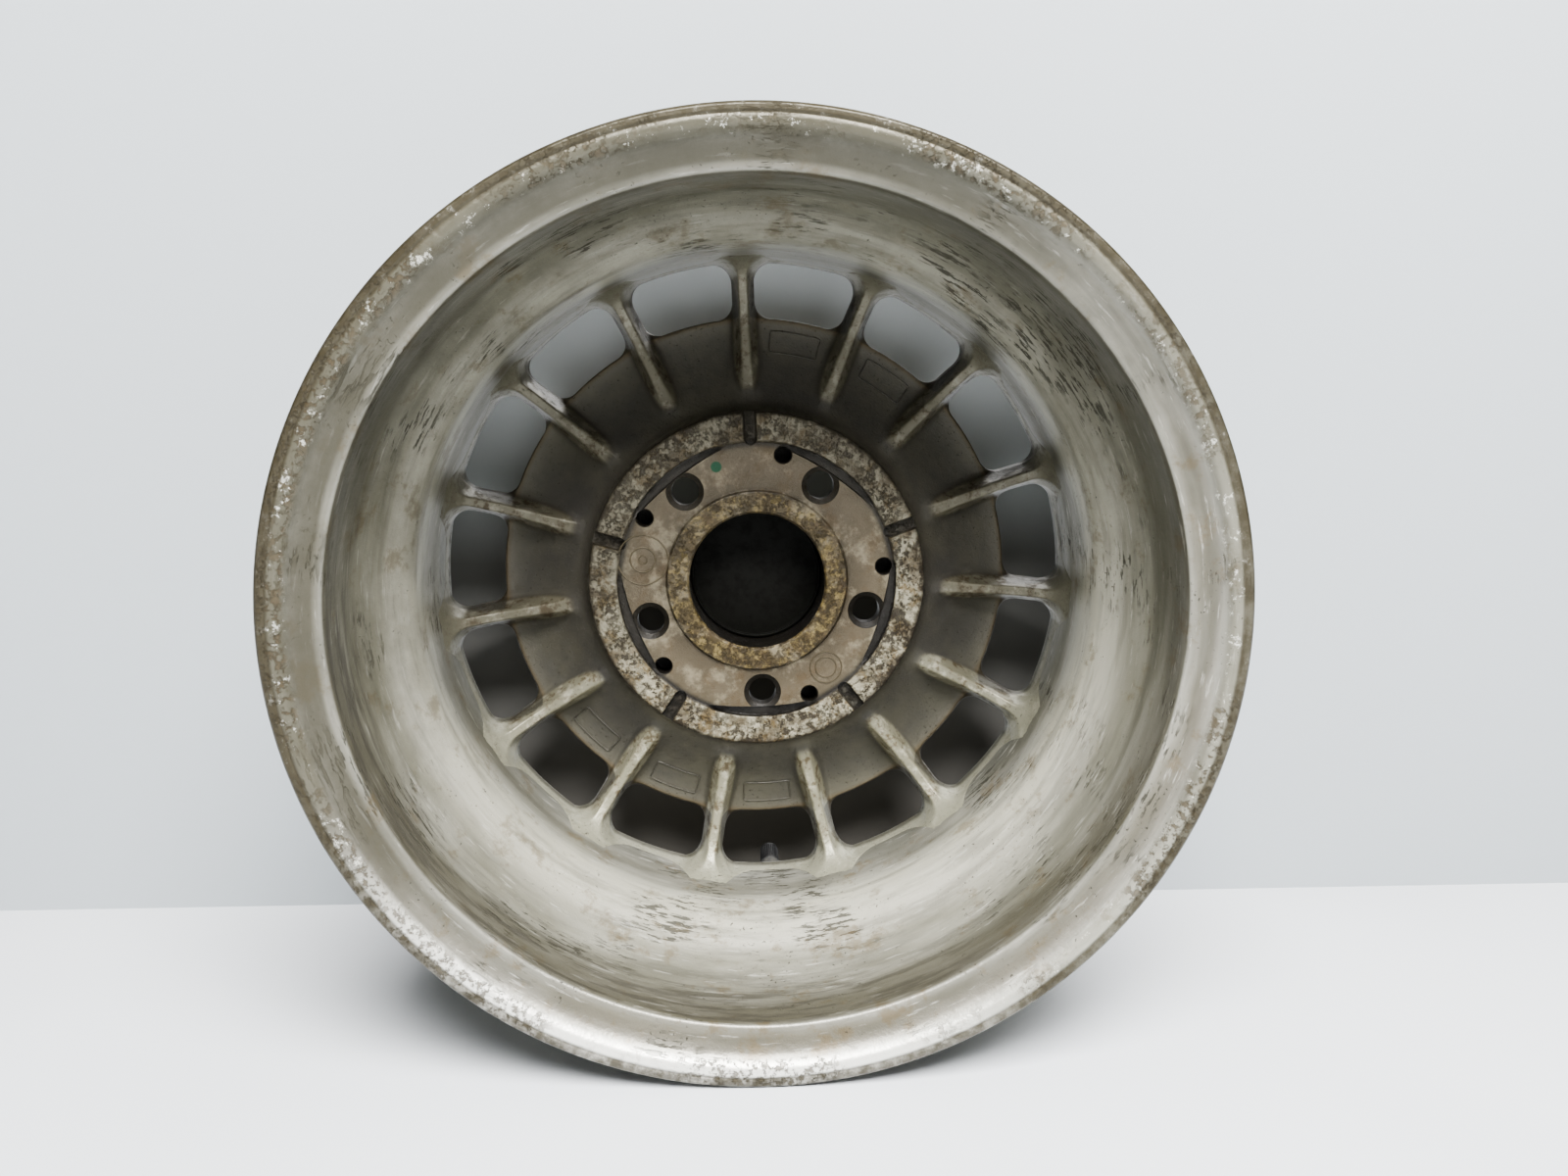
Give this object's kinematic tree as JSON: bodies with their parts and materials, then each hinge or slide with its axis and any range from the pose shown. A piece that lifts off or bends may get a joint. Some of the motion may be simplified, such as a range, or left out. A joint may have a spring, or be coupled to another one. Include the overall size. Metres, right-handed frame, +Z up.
{
  "type": "car wheel rim",
  "caption": "One-piece forged aluminium road wheel with ribbed spokes and windows, drop-centre barrel, relieved hub pad, tyre valve and centre cap.",
  "frame": {"origin": "on the axle, midway between the two bead flanges, where the wheel's box has its centre", "axes": "+Y along the axle towards the outboard face, +Z up with the valve at the bottom, +X to the right as the inboard face is seen"},
  "size_m": [0.3893, 0.1774, 0.3894],
  "materials": {
    "forging": "aged silver, dull and streaked",
    "worn_land": "pitted and crusted",
    "bare_land": "bare, rubbed and stained",
    "valve_rubber": "matt",
    "brass": "dull",
    "spring_steel": "plain",
    "black_plastic": "moulded",
    "cap_plastic": "moulded, dusty inside"
  },
  "bodies": {
    "wheel": {"inboard_flange": "forging", "inboard_bead_seat": "forging", "inboard_slope": "forging", "rim_well": "forging", "outboard_slope": "forging", "spoke_ring": "forging", "outboard_bead_seat": "forging", "outboard_flange": "forging", "hub_outer_land": "worn_land", "hub_flange": "forging", "hub_pocket_walls": "forging", "hub_bore_ring": "bare_land", "spoke_webs": "forging", "spoke_01": "forging", "spoke_02": "forging", "spoke_03": "forging", "spoke_04": "forging", "spoke_05": "forging", "spoke_06": "forging", "spoke_07": "forging", "spoke_08": "forging", "spoke_09": "forging", "spoke_10": "forging", "spoke_11": "forging", "spoke_12": "forging", "spoke_13": "forging", "spoke_14": "forging", "spoke_15": "forging", "valve_body": "valve_rubber", "valve_stem": "brass", "valve_core_barrel": "brass", "valve_core_seal": "valve_rubber"},
    "valve_pin": {"valve_core_pin": "brass", "valve_core_spring": "spring_steel"},
    "valve_cap": {"valve_cap": "black_plastic", "valve_cap_washer": "valve_rubber"},
    "centre_cap": {"centre_cap": "cap_plastic", "centre_cap_wire": "spring_steel"}
  },
  "joints": [
    {"name": "valve_pin_press", "type": "slide", "parent": "wheel", "child": "valve_pin", "axis": [0.0106, -0.9703, -0.2417], "range_m": [0, 0.0015], "stiffness_N_per_m": 1200, "springref_m": -0.002},
    {"name": "valve_cap_off", "type": "slide", "parent": "wheel", "child": "valve_cap", "axis": [-0.0106, 0.9703, 0.2417], "range_m": [0, 0.016]},
    {"name": "centre_cap_off", "type": "slide", "parent": "wheel", "child": "centre_cap", "axis": [0, 1, 0], "range_m": [0, 0.03]}
  ]
}
